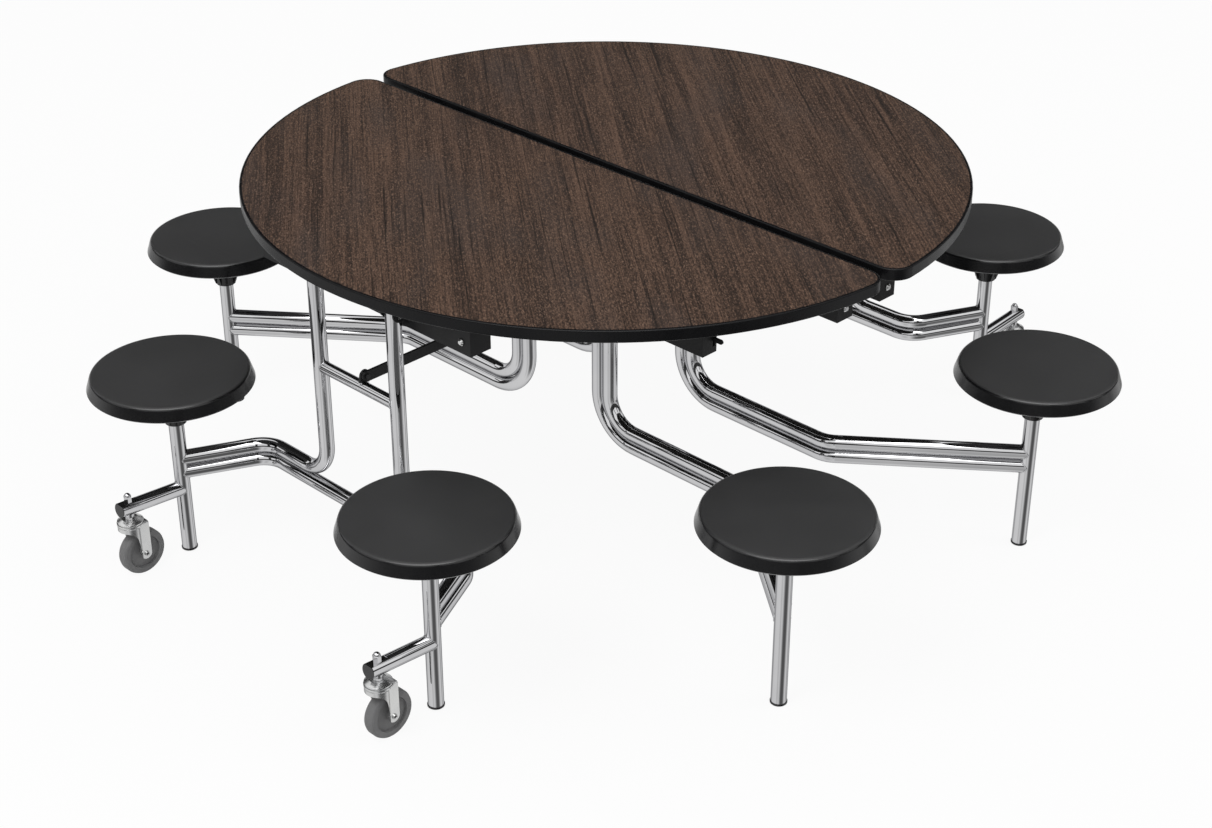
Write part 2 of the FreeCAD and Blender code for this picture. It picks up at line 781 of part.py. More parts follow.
# Casters
def forkPlan(front_radius, leg_y, blend, back_x, z0, z1):
    # Plan of the fork: half round in front, narrowing to two parallel legs behind.
    edges = [
        Part.Arc(vec(0, leg_y + blend, z0), vec(-front_radius, 0, z0), vec(0, -leg_y - blend, z0)).toShape(),
        Part.LineSegment(vec(0, -leg_y - blend, z0), vec(hood_blend, -leg_y, z0)).toShape(),
        Part.LineSegment(vec(hood_blend, -leg_y, z0), vec(back_x, -leg_y, z0)).toShape(),
        Part.LineSegment(vec(back_x, -leg_y, z0), vec(back_x, leg_y, z0)).toShape(),
        Part.LineSegment(vec(back_x, leg_y, z0), vec(hood_blend, leg_y, z0)).toShape(),
        Part.LineSegment(vec(hood_blend, leg_y, z0), vec(0, leg_y + blend, z0)).toShape(),
    ]
    return Part.Face(Part.Wire(edges)).extrude(vec(0, 0, z1 - z0))


def casterFork(x, y, inward):
    # Pressed fork: a half-round hood over the wheel's front that arches down to two legs, under a race.
    half_outer = wheel_width / 2 + fork_side_gap + fork_plate
    half_inner = wheel_width / 2 + fork_side_gap
    axle_z = wheel_radius
    reach = hood_radius + fork_plate
    eye_front = vec(caster_trail - fork_eye_radius, -reach, axle_z)
    eye_bottom = vec(caster_trail, -reach, axle_z - fork_eye_radius)
    eye_back = vec(caster_trail + fork_eye_radius, -reach, axle_z)
    top_back = vec(caster_trail + fork_eye_radius, -reach, fork_top_height)
    top_front = vec(-reach, -reach, fork_top_height)
    skirt = vec(-reach, -reach, fork_top_height - fork_skirt_depth)
    arch_foot = vec(-fork_arch_front, -reach, fork_top_height - fork_arch_drop)
    chord = (skirt - arch_foot).normalize()
    arch_mid = (skirt + arch_foot) * 0.5 + vec(-chord.z, 0, chord.x) * -fork_arch_rise
    edges = [
        Part.LineSegment(top_front, top_back).toShape(),
        Part.LineSegment(top_back, eye_back).toShape(),
        Part.Arc(eye_back, eye_bottom, eye_front).toShape(),
        Part.LineSegment(eye_front, arch_foot).toShape(),
        Part.Arc(arch_foot, arch_mid, skirt).toShape(),
        Part.LineSegment(skirt, top_front).toShape(),
    ]
    profile = Part.Face(Part.Wire(edges)).extrude(vec(0, 2 * reach, 0))
    plan = forkPlan(
        hood_radius, half_outer, hood_radius - half_outer, caster_trail + fork_eye_radius,
        0.0, fork_top_height,
    )
    bends = []
    for edge in plan.Edges:
        box = edge.BoundBox
        if box.ZMin > fork_top_height - eps and box.XLength > eps:
            bends.append(edge)
    plan = plan.makeFillet(fork_bend, bends)
    room = forkPlan(
        hood_radius - fork_plate, half_inner, hood_radius - half_outer, 3 * wheel_radius,
        -wheel_radius, fork_top_height - fork_plate,
    )
    fork = profile.common(plan).cut(room)
    axle = crossRod(caster_trail, axle_z, axle_diameter / 2, -half_outer, half_outer)
    heads = []
    for y0 in (-half_outer - axle_head_height, half_outer):
        heads.append(crossRod(caster_trail, axle_z, axle_head_diameter / 2, y0, y0 + axle_head_height))
    body = fork.multiFuse([swivelRace(), axle] + heads).removeSplitter()
    if inward < 0:
        body = turned(body, 180)
    return moved(body, x, y)


def swivelRace():
    # Dished lower cup, a groove, and the crowned upper cap that turns against it.
    lip_top = fork_top_height + race_lip_height
    cap_bottom = lip_top + race_groove_height
    cap_radius = race_radius - race_cap_inset
    cap_side_top = cap_bottom + race_cap_height
    race_top = fork_top_height + race_height
    outline = [
        vec(0, 0, fork_top_height - race_dish_depth),
        vec(race_dish_radius, 0, fork_top_height - race_dish_depth),
        vec(race_radius, 0, fork_top_height),
        vec(race_radius, 0, lip_top),
        vec(race_radius - race_groove_depth, 0, lip_top),
        vec(race_radius - race_groove_depth, 0, cap_bottom),
        vec(cap_radius, 0, cap_bottom),
        vec(cap_radius, 0, cap_side_top),
        vec(race_crown_radius, 0, race_top),
        vec(0, 0, race_top),
    ]
    return revolved(outline, centre, z_axis)


def casterWheel(x, y, inward):
    # Tread with bevelled round shoulders round a recessed hub; the bore runs on the fork's axle.
    half = wheel_width / 2
    recess = half - wheel_recess
    bore = axle_diameter / 2 + axle_clearance
    inset = tread_round * (1 - math.sqrt(0.5))
    side = [
        vec(bore, half + wheel_boss_reach, 0),
        vec(wheel_boss_radius, half + wheel_boss_reach, 0),
        vec(wheel_boss_radius + wheel_draft, recess, 0),
        vec(wheel_rim_radius - wheel_draft, recess, 0),
        vec(wheel_rim_radius, half, 0),
        vec(wheel_radius - tread_round, half, 0),
        vec(wheel_radius - inset, half - inset, 0),
        vec(wheel_radius, half - tread_round, 0),
    ]
    other_side = [vec(point.x, -point.y, 0) for point in reversed(side)]
    wheel = revolved(side + other_side, centre, y_axis)
    return moved(wheel, x + inward * caster_trail, y, wheel_radius)


def buildWest():
    nodes = {}
    board, laminate, band = topPieces()
    nodes["table_board"] = [board]
    nodes["table_laminate"] = [laminate]
    nodes["edge_band"] = [band]
    nodes["leg_channel"] = [
        channel(-leg_channel_x, leg_channel_width, -leg_channel_end_y, leg_channel_end_y, channel_bottom)
    ]
    mid_far = channel(
        -mid_channel_x, mid_channel_width, mid_channel_start_y, mid_channel_end_y, channel_bottom
    )
    mid_near = mirroredY(mid_far).cut(mirroredY(leverSlot()))
    nodes["mid_channels"] = [mid_far, mid_near.fuse(mirroredY(leverPin()))]
    nodes["edge_rail"] = [edgeRail()]
    inner_low = inner_leg_y - pair_spacing
    nodes["pivot_brackets"] = pairY(bracket(-outer_leg_x, outer_leg_y, outer_leg_y)) + pairY(
        bracket(-inner_leg_x, inner_low, inner_leg_y)
    )
    bolts = []
    channel_side = -leg_channel_x - leg_channel_width / 2
    bolt_y = leg_channel_end_y - bolt_from_end
    bolt_z = channel_bottom + bolt_above_bottom
    bolts += pairY(boltHead(channel_side, bolt_y, bolt_z, x_axis * -1))
    rail_mid = -rail_inset - rail_width / 2
    bolts += pairY(boltHead(rail_mid, rail_end_y, bolt_z, y_axis))
    nodes["pivot_pins"] = (
        pairY(pivotPin(-outer_leg_x, outer_leg_y, outer_leg_y))
        + pairY(pivotPin(-inner_leg_x, inner_low, inner_leg_y))
        + bolts
    )
    nodes["latch_lever"] = [mirroredY(latchLever())]
    nodes["outer_legs"] = pairY(outerLeg())
    nodes["outer_stretcher"] = [outerStretcher()]
    nodes["outer_crossbar"] = crossbarWithLug(
        -outer_leg_x, outer_leg_y, outer_crossbar_height, link_pivot_rise
    )
    post = postAt(-outer_stool_x, outer_stool_y, outer_post_foot)
    nodes["outer_posts"] = pairY(post)
    nodes["caster_arms"] = pairY(casterArm()) + pairY(casterStem())
    nodes["outer_caps"] = pairY(glideAt(-outer_stool_x, outer_stool_y, outer_post_foot)) + pairY(stubPlug())
    arm_tubes = []
    for tube in innerTubes():
        arm_tubes += pairY(tube)
    nodes["inner_arm_tubes"] = arm_tubes
    nodes["inner_posts"] = pairY(postAt(-inner_stool_x, inner_stool_y, glide_height))
    nodes["inner_crossbar"] = crossbarWithLug(
        -inner_leg_x, inner_low, inner_crossbar_height, -link_pivot_rise
    )
    nodes["inner_glides"] = pairY(glideAt(-inner_stool_x, inner_stool_y, glide_height))
    nodes["fold_link"] = [link()]
    return nodes


def main():
    nodes = {}
    west = buildWest()
    for name, solids in west.items():
        nodes["west_" + name] = solids
        nodes["east_" + name] = [turned(solid, 180) for solid in solids]
    west_leaves = []
    east_leaves = []
    for y in hinge_positions:
        west_leaves.append(hingeLeaf(y, (-1, 1), True))
        east_leaves.append(turned(hingeLeaf(-y, (0,), False), 180))
    nodes["west_hinge_leaves"] = west_leaves
    nodes["east_hinge_leaves"] = east_leaves
    stool = seat()
    places = {
        "west_outer_north": (-outer_stool_x, outer_stool_y),
        "west_outer_south": (-outer_stool_x, -outer_stool_y),
        "west_inner_north": (-inner_stool_x, inner_stool_y),
        "west_inner_south": (-inner_stool_x, -inner_stool_y),
        "east_outer_north": (outer_stool_x, outer_stool_y),
        "east_outer_south": (outer_stool_x, -outer_stool_y),
        "east_inner_north": (inner_stool_x, inner_stool_y),
        "east_inner_south": (inner_stool_x, -inner_stool_y),
    }
    for name, (x, y) in places.items():
        nodes[name + "_seat"] = [moved(stool, x, y)]
        if "outer" in name:
            inward = 1 if x < 0 else -1
            caster_x = x - inward * caster_reach
            nodes[name + "_fork"] = [casterFork(caster_x, y, inward)]
            nodes[name + "_wheel"] = [casterWheel(caster_x, y, inward)]
    os.makedirs("parts", exist_ok=True)
    for name, solids in nodes.items():
        shape = solids[0] if len(solids) == 1 else Part.makeCompound(solids)
        shape.exportStep(os.path.join("parts", name + ".step"))
    print(len(nodes), "nodes written")


main()
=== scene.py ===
import math

import bpy
import numpy as np
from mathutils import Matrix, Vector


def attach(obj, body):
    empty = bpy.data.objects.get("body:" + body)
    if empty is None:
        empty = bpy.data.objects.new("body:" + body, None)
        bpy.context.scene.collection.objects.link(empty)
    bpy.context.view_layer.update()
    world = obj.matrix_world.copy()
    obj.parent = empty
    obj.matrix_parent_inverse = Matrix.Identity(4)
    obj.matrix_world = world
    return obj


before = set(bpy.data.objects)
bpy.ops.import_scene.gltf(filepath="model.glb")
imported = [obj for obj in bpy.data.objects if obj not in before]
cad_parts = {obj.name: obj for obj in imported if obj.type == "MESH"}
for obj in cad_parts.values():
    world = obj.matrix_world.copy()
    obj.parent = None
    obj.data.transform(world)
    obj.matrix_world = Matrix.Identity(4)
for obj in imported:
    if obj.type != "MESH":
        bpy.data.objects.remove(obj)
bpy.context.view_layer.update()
print("stage 1: frame loaded,", len(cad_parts), "nodes")


def link(tree, source, target):
    tree.links.new(source, target)


def addNode(tree, kind, values, **settings):
    # One node with its settings, and its inputs filled: a plain value is stored, a socket is linked.
    node = tree.nodes.new(kind)
    for name, value in settings.items():
        setattr(node, name, value)
    for name, value in values.items():
        if isinstance(value, bpy.types.NodeSocket):
            link(tree, value, node.inputs[name])
        else:
            node.inputs[name].default_value = value
    return node


def mathNode(tree, operation, a, b=0.5):
    # An operation on one value takes no notice of b.
    return addNode(tree, "ShaderNodeMath", {0: a, 1: b}, operation=operation).outputs[0]


def mixColour(tree, factor, a, b):
    # A Mix node's inputs 6 and 7 and its output 2 are its colours.
    return addNode(tree, "ShaderNodeMix", {0: factor, 6: a, 7: b}, data_type="RGBA").outputs[2]


def remap(tree, value, low, high, outLow=0.0, outHigh=1.0):
    values = {"Value": value, "From Min": low, "From Max": high, "To Min": outLow, "To Max": outHigh}
    return addNode(tree, "ShaderNodeMapRange", values).outputs["Result"]


def stretched(tree, vector, scale, rotation=(0, 0, 0)):
    values = {"Vector": vector, "Scale": scale, "Rotation": rotation}
    return addNode(tree, "ShaderNodeMapping", values).outputs["Vector"]


def noise(tree, vector, scale, detail, roughness=0.5):
    values = {"Vector": vector, "Scale": scale, "Detail": detail, "Roughness": roughness}
    return addNode(tree, "ShaderNodeTexNoise", values).outputs["Fac"]


def newGroup(name, inputs, outputs):
    # Empty node group with named sockets, and the two nodes that stand for them.
    tree = bpy.data.node_groups.new(name, "ShaderNodeTree")
    for label, kind, value in inputs:
        socket = tree.interface.new_socket(name=label, in_out="INPUT", socket_type=kind)
        if value is not None:
            socket.default_value = value
    for label, kind in outputs:
        tree.interface.new_socket(name=label, in_out="OUTPUT", socket_type=kind)
    return tree, tree.nodes.new("NodeGroupInput").outputs, tree.nodes.new("NodeGroupOutput").inputs


def useGroup(tree, group, values):
    return addNode(tree, "ShaderNodeGroup", values, node_tree=group).outputs


def buildWearGroup():
    # Handling marks: soft smudges from a wide noise, and hair scratches where either of two crossed,
    # stretched noises runs close to one half. The materials let them change roughness and tone a little.
    look = {"smudgeDetail": 4.0, "smudgeRough": 0.6, "smudgeRange": (0.38, 0.68), "strandDetail": 1.0,
            "strands": (((0.3, 0.2, 0.9), (1.0, 0.04, 1.0)), ((0.7, 1.1, 0.1), (0.05, 1.0, 1.0)))}
    inputs = [("Vector", "NodeSocketVector", None), ("Smudge Scale", "NodeSocketFloat", 9.0),
              ("Scratch Scale", "NodeSocketFloat", 60.0), ("Scratch Width", "NodeSocketFloat", 0.012)]
    outputs = [("Smudge", "NodeSocketFloat"), ("Scratch", "NodeSocketFloat")]
    tree, given, result = newGroup("handlingWear", inputs, outputs)
    smudge = noise(tree, given["Vector"], given["Smudge Scale"], look["smudgeDetail"], look["smudgeRough"])
    link(tree, remap(tree, smudge, *look["smudgeRange"]), result["Smudge"])
    lines = []
    for turn, stretch in look["strands"]:
        turned = stretched(tree, given["Vector"], stretch, turn)
        strand = noise(tree, turned, given["Scratch Scale"], look["strandDetail"])
        offset = mathNode(tree, "ABSOLUTE", mathNode(tree, "SUBTRACT", strand, 0.5))
        lines.append(mathNode(tree, "LESS_THAN", offset, given["Scratch Width"]))
    link(tree, mathNode(tree, "MAXIMUM", lines[0], lines[1]), result["Scratch"])
    return tree


def buildPeelGroup():
    # Fine relief of paint and moulded plastic: a cell-sized ripple with a finer grain on it.
    look = {"cellDetail": 1.0, "grainDetail": 2.0}
    inputs = [("Vector", "NodeSocketVector", None), ("Cell Scale", "NodeSocketFloat", 450.0),
              ("Grain Scale", "NodeSocketFloat", 1600.0), ("Grain Share", "NodeSocketFloat", 0.35)]
    tree, given, result = newGroup("finePeel", inputs, [("Height", "NodeSocketFloat")])
    cells = noise(tree, given["Vector"], given["Cell Scale"], look["cellDetail"])
    grain = noise(tree, given["Vector"], given["Grain Scale"], look["grainDetail"])
    fine = mathNode(tree, "MULTIPLY", grain, given["Grain Share"])
    link(tree, mathNode(tree, "ADD", cells, fine), result["Height"])
    return tree


def buildGrainGroup():
    # Straight-grained wood: x runs along the grain. Each output is a noise stretched along x, from wide
    # bands to short fibres; the across coordinate wanders a little so that no line is quite straight.
    # Each noise is (repeats per metre in x, y and z, detail, roughness).
    look = {"drift": ((2.2, 6.0, 1.0), 2.0, 0.5),
            "noises": {"Streak": ((4.0, 300.0, 1.0), 3.0, 0.65), "Band": ((1.1, 42.0, 1.0), 3.0, 0.6),
                       "Fibre": ((130.0, 340.0, 1.0), 3.0, 0.8), "Patch": ((2.5, 9.0, 1.0), 2.0, 0.5),
                       "Line": ((2.2, 190.0, 3.0), 2.0, 0.5)}}
    inputs = [("Vector", "NodeSocketVector", None), ("Wander", "NodeSocketFloat", 0.010)]
    outputs = [(name, "NodeSocketFloat") for name in look["noises"]]
    tree, given, result = newGroup("straightGrain", inputs, outputs)
    repeats, detail, roughness = look["drift"]
    drift = noise(tree, stretched(tree, given["Vector"], repeats), 1.0, detail, roughness)
    shift = mathNode(tree, "MULTIPLY", mathNode(tree, "SUBTRACT", drift, 0.5), given["Wander"])
    offset = addNode(tree, "ShaderNodeCombineXYZ", {"Y": shift}).outputs["Vector"]
    adder = addNode(tree, "ShaderNodeVectorMath", {0: given["Vector"], 1: offset}, operation="ADD")
    moved = adder.outputs["Vector"]
    for name, (repeats, detail, roughness) in look["noises"].items():
        link(tree, noise(tree, stretched(tree, moved, repeats), 1.0, detail, roughness), result[name])
    return tree


wearGroup = buildWearGroup()
peelGroup = buildPeelGroup()
grainGroup = buildGrainGroup()
print("stage 2: shared node groups built")


def startMaterial(name, settings):
    # Principled material with its even values on the shader's own sockets. It comes back with its node
    # tree, its shader and the piece's Object coordinates.
    material = bpy.data.materials.new(name)
    material.use_nodes = True
    tree = material.node_tree
    shader = tree.nodes["Principled BSDF"]
    for socket, value in settings.items():
        shader.inputs[socket].default_value = value
    position = tree.nodes.new("ShaderNodeTexCoord").outputs["Object"]
    return material, tree, shader, position


def setBump(tree, shader, height, strength, distance):
    bump = addNode(tree, "ShaderNodeBump", {"Height": height, "Strength": strength, "Distance": distance})
    link(tree, bump.outputs["Normal"], shader.inputs["Normal"])


def buildLaminate():
    # Walnut pattern: three noises of the grain make the tone between dark and light, then cool patches,
    # pale fibres and dark lines are laid over it. Each range is (from, to, share at from, share at to).
    look = {"light": (0.099, 0.0578, 0.0392, 1), "dark": (0.022, 0.0140, 0.0106, 1),
            "line": (0.008, 0.006, 0.005, 1), "cool": (0.042, 0.033, 0.030, 1),
            "glint": (0.235, 0.152, 0.106, 1), "grainTurn": math.radians(129.0),
            "shares": {"Streak": 0.30, "Band": 0.18, "Fibre": 0.52}, "toneRange": (0.452, 0.560),
            "coolRange": (0.50, 0.72, 0.0, 0.40), "glintRange": (0.56, 0.72, 0.0, 0.78),
            "lineRange": (0.30, 0.41, 0.80, 0.0), "smudges": 5.0, "scratches": 25.0, "scratchWidth": 0.003,
            "roughness": (0.44, 0.50), "scratchRough": 0.62, "specular": 0.18, "bump": 0.15,
            "bumpDepth": 0.00015}
    even = {"Specular IOR Level": look["specular"]}
    material, tree, shader, position = startMaterial("walnutLaminate", even)
    along = stretched(tree, position, (1, 1, 1), (0, 0, look["grainTurn"]))
    grain = useGroup(tree, grainGroup, {"Vector": along})
    wear = useGroup(tree, wearGroup, {"Vector": position, "Smudge Scale": look["smudges"],
                                      "Scratch Scale": look["scratches"],
                                      "Scratch Width": look["scratchWidth"]})
    tone = 0.0
    for name, share in look["shares"].items():
        tone = mathNode(tree, "ADD", tone, mathNode(tree, "MULTIPLY", grain[name], share))
    base = mixColour(tree, remap(tree, tone, *look["toneRange"]), look["dark"], look["light"])
    base = mixColour(tree, remap(tree, grain["Patch"], *look["coolRange"]), base, look["cool"])
    base = mixColour(tree, remap(tree, grain["Fibre"], *look["glintRange"]), base, look["glint"])
    base = mixColour(tree, remap(tree, grain["Line"], *look["lineRange"]), base, look["line"])
    link(tree, base, shader.inputs["Base Color"])
    rough = mathNode(tree, "MAXIMUM", remap(tree, wear["Smudge"], 0, 1, *look["roughness"]),
                     mathNode(tree, "MULTIPLY", wear["Scratch"], look["scratchRough"]))
    link(tree, rough, shader.inputs["Roughness"])
    setBump(tree, shader, grain["Fibre"], look["bump"], look["bumpDepth"])
    return material


def buildBoard():
    # Sealed chipboard: cells of a Voronoi pattern, drawn out along y, times a fine noise.
    look = {"chipDark": (0.0075, 0.007, 0.0065, 1), "chipLight": (0.018, 0.016, 0.0145, 1),
            "chipScale": 160.0, "chipStretch": (1, 0.45, 1), "shadeRange": (0.05, 0.45),
            "fineScale": 420.0, "fineDetail": 3.0, "fineRange": (0.3, 0.7), "roughness": (0.70, 0.85),
            "specular": 0.3, "bump": 0.3, "bumpDepth": 0.0004}
    material, tree, shader, position = startMaterial("sealedBoard", {"Specular IOR Level": look["specular"]})
    chips = addNode(tree, "ShaderNodeTexVoronoi", {"Vector": stretched(tree, position, look["chipStretch"]),
                                                   "Scale": look["chipScale"]})
    fine = noise(tree, position, look["fineScale"], look["fineDetail"])
    shade = mathNode(tree, "MULTIPLY", chips.outputs["Distance"], fine)
    base = mixColour(tree, remap(tree, shade, *look["shadeRange"]), look["chipDark"], look["chipLight"])
    link(tree, base, shader.inputs["Base Color"])
    link(tree, remap(tree, fine, *look["fineRange"], *look["roughness"]), shader.inputs["Roughness"])
    setBump(tree, shader, shade, look["bump"], look["bumpDepth"])
    return material


def buildBlack(name, look):
    # Black finish: peel relief, smudges that lift the roughness, scratches that lower it, and a slightly
    # paler dusty tone. Over the level "topLevel" a moulded face is rougher than the sides, and its colour
    # is painted paler than theirs: painted light, as if lit from above.
    shared = {"speckRange": (0.55, 0.85, 0.0, 0.35), "smudge": 0.35, "topSmudge": 0.6, "scratchWidth": 0.004}
    material, tree, shader, position = startMaterial(name, {"Specular IOR Level": look["specular"]})
    peel = useGroup(tree, peelGroup, {"Vector": position, "Cell Scale": look["cells"],
                                      "Grain Scale": look["grains"], "Grain Share": look["grainShare"]})
    wear = useGroup(tree, wearGroup, {"Vector": position, "Smudge Scale": look["smudges"],
                                      "Scratch Scale": look["scratches"],
                                      "Scratch Width": shared["scratchWidth"]})
    speck = remap(tree, peel["Height"], *shared["speckRange"])
    base = mixColour(tree, speck, look["colour"], look["pale"])
    base = mixColour(tree, mathNode(tree, "MULTIPLY", wear["Smudge"], shared["smudge"]), base, look["pale"])
    rough = remap(tree, wear["Smudge"], 0.0, 1.0, *look["roughness"])
    shine = mathNode(tree, "MULTIPLY", wear["Scratch"], look["scratchShine"])
    rough = mathNode(tree, "SUBTRACT", rough, shine)
    if "topLevel" in look:
        height = addNode(tree, "ShaderNodeSeparateXYZ", {"Vector": position}).outputs["Z"]
        face = remap(tree, height, look["topLevel"] - look["topBlend"], look["topLevel"])
        dull = mathNode(tree, "MULTIPLY", wear["Smudge"], shared["topSmudge"])
        # Painted light: over topLevel the face gets a paler colour, as if lit from above, varied a little by
        # smudges.
        litTopColour = mixColour(tree, dull, look["top"], look["topPale"])
        litTopColour = mixColour(tree, speck, litTopColour, look["topPale"])
        base = mixColour(tree, face, base, litTopColour)
        rough = mathNode(tree, "ADD", rough, mathNode(tree, "MULTIPLY", face, look["topRough"]))
    link(tree, base, shader.inputs["Base Color"])
    link(tree, rough, shader.inputs["Roughness"])
    setBump(tree, shader, peel["Height"], look["bump"], look["bumpDepth"])
    return material


def buildMetal(name, look):
    # Bright metal: smudges and hair scratches change its roughness, a wide cloud its tone. Between the
    # two levels of "painted" it carries black paint, which isn't metallic.
    shared = {"cloudDetail": 3.0, "cloudRough": 0.6, "cloudRange": (0.35, 0.65), "rippleDetail": 2.0}
    even = {"Metallic": 1.0, "Specular Tint": look["edgeTint"]}
    material, tree, shader, position = startMaterial(name, even)
    wear = useGroup(tree, wearGroup, {"Vector": position, "Smudge Scale": look["smudges"],
                                      "Scratch Scale": look["scratches"],
                                      "Scratch Width": look["scratchWidth"]})
    cloud = noise(tree, position, look["clouds"], shared["cloudDetail"], shared["cloudRough"])
    base = mixColour(tree, remap(tree, cloud, *shared["cloudRange"]), look["colour"], look["tone"])
    rough = remap(tree, wear["Smudge"], 0.0, 1.0, *look["roughness"])
    rough = mathNode(tree, "ADD", rough, mathNode(tree, "MULTIPLY", wear["Scratch"], look["scratchRough"]))
    if "painted" in look:
        low, high = look["painted"]
        height = addNode(tree, "ShaderNodeSeparateXYZ", {"Vector": position}).outputs["Z"]
        bare = mathNode(tree, "MAXIMUM", mathNode(tree, "LESS_THAN", height, low),
                        mathNode(tree, "GREATER_THAN", height, high))
        paint = mixColour(tree, wear["Smudge"], look["paint"], look["paintPale"])
        base = mixColour(tree, bare, paint, base)
        mixed = addNode(tree, "ShaderNodeMix", {"Factor": bare, "A": look["paintRough"], "B": rough})
        rough = mixed.outputs["Result"]
        link(tree, bare, shader.inputs["Metallic"])
    link(tree, base, shader.inputs["Base Color"])
    link(tree, rough, shader.inputs["Roughness"])
    ripple = noise(tree, position, look["ripples"], shared["rippleDetail"])
    setBump(tree, shader, ripple, look["bump"], look["bumpDepth"])
    return material


def buildRubber():
    # Grey tyre rubber, a little paler where it is smudged and scratched.
    look = {"colour": (0.130, 0.130, 0.132, 1), "worn": (0.175, 0.174, 0.172, 1), "cells": 700.0,
            "grainShare": 0.5, "smudges": 30.0, "scratches": 120.0, "scratchWidth": 0.006,
            "wornShares": {"Smudge": 0.5, "Scratch": 0.15}, "peelRange": (0.5, 0.9),
            "roughness": (0.55, 0.75), "specular": 0.4, "bump": 0.12, "bumpDepth": 0.0003}
    material, tree, shader, position = startMaterial("greyRubber", {"Specular IOR Level": look["specular"]})
    peel = useGroup(tree, peelGroup, {"Vector": position, "Cell Scale": look["cells"],
                                      "Grain Share": look["grainShare"]})
    wear = useGroup(tree, wearGroup, {"Vector": position, "Smudge Scale": look["smudges"],
                                      "Scratch Scale": look["scratches"],
                                      "Scratch Width": look["scratchWidth"]})
    base = look["colour"]
    for name, share in look["wornShares"].items():
        base = mixColour(tree, mathNode(tree, "MULTIPLY", wear[name], share), base, look["worn"])
    link(tree, base, shader.inputs["Base Color"])
    rough = remap(tree, peel["Height"], *look["peelRange"], *look["roughness"])
    link(tree, rough, shader.inputs["Roughness"])
    setBump(tree, shader, peel["Height"], look["bump"], look["bumpDepth"])
    return material


# Each finish has its colours, its noises in repeats per metre, its roughness where clean and where
# smudged, and its bump. The levels are heights above the floor in metres.
edgeLook = {"colour": (0.0035, 0.0035, 0.004, 1), "pale": (0.008, 0.008, 0.0085, 1), "cells": 300.0,
            "grains": 1400.0, "grainShare": 0.3, "smudges": 14.0, "scratches": 40.0,
            "scratchShine": 0.03, "specular": 0.16, "roughness": (0.24, 0.34), "bump": 0.10,
            "bumpDepth": 0.0002}
paintLook = {"colour": (0.0065, 0.0065, 0.007, 1), "pale": (0.014, 0.014, 0.0145, 1), "cells": 380.0,
             "grains": 1200.0, "grainShare": 0.4, "smudges": 9.0, "scratches": 50.0,
             "scratchShine": 0.05, "specular": 0.20, "roughness": (0.40, 0.55), "bump": 0.30,
             "bumpDepth": 0.0003}
# The seat's two top colours are painted light: over topLevel the face is paler than the sides, as if lit
# from above.
seatLook = {"colour": (0.0045, 0.0045, 0.005, 1), "pale": (0.009, 0.009, 0.0095, 1), "cells": 520.0,
            "grains": 1900.0, "grainShare": 0.5, "smudges": 7.0, "scratches": 28.0,
            "scratchShine": 0.02, "specular": 0.50, "roughness": (0.18, 0.23), "bump": 0.12,
            "bumpDepth": 0.0002, "topLevel": 0.4298, "topBlend": 0.0025, "topRough": 0.26,
            "top": (0.0225, 0.0225, 0.023, 1), "topPale": (0.030, 0.030, 0.0305, 1)}
chromeLook = {"colour": (0.68, 0.68, 0.69, 1), "tone": (0.62, 0.62, 0.632, 1),
              "edgeTint": (0.45, 0.45, 0.46, 1), "clouds": 5.0, "smudges": 10.0, "scratches": 90.0,
              "scratchWidth": 0.0008, "scratchRough": 0.01, "roughness": (0.03, 0.055),
              "ripples": 14.0, "bump": 0.004, "bumpDepth": 0.0006}
lugLook = {**chromeLook, "painted": (0.4930, 0.5173), "paint": (0.0065, 0.0065, 0.007, 1),
           "paintPale": (0.016, 0.016, 0.0165, 1), "paintRough": 0.42}
zincLook = {"colour": (0.74, 0.74, 0.73, 1), "tone": (0.66, 0.665, 0.67, 1),
            "edgeTint": (0.80, 0.80, 0.80, 1), "clouds": 14.0, "smudges": 18.0, "scratches": 160.0,
            "scratchWidth": 0.003, "scratchRough": 0.03, "roughness": (0.20, 0.30),
            "ripples": 110.0, "bump": 0.02, "bumpDepth": 0.0002}

materials = {"top_board": buildBoard(), "walnut_laminate": buildLaminate(),
             "edge_band": buildBlack("edgeMoulding", edgeLook),
             "black_steel": buildBlack("blackPaint", paintLook),
             "black_plastic": buildBlack("seatPlastic", seatLook),
             "zinc_steel": buildMetal("zincPlate", zincLook),
             "chrome_tube": buildMetal("chromePlate", chromeLook),
             "grey_rubber": buildRubber()}
crossbarFinish = buildMetal("chromeWithLug", lugLook)  # each crossbar is chromed and its lug painted
for name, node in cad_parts.items():
    for slot in node.material_slots:
        plain = materials[slot.material.name.split(".")[0]]
        slot.material = crossbarFinish if name.endswith("_crossbar") else plain
print("stage 3: materials on", len(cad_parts), "nodes")


def gridFaces(rows, columns, start, closeRows, capped):
    # Quads between neighbours of a grid that is wrapped round its columns, and round its rows where
    # closeRows is set; a capped grid gets one face over its first row and one over its last.
    r = np.arange(rows if closeRows else rows - 1)
    c = np.arange(columns)
    low = r[:, None] * columns
    high = ((r + 1) % rows)[:, None] * columns
    far = (c + 1) % columns
    quads = np.stack([low + c, low + far, high + far, high + c], axis=-1).reshape(-1, 4) + start
    faces = quads.tolist()
    if capped:
        faces.append((c[::-1] + start).tolist())
        faces.append((c + start + (rows - 1) * columns).tolist())
    return faces


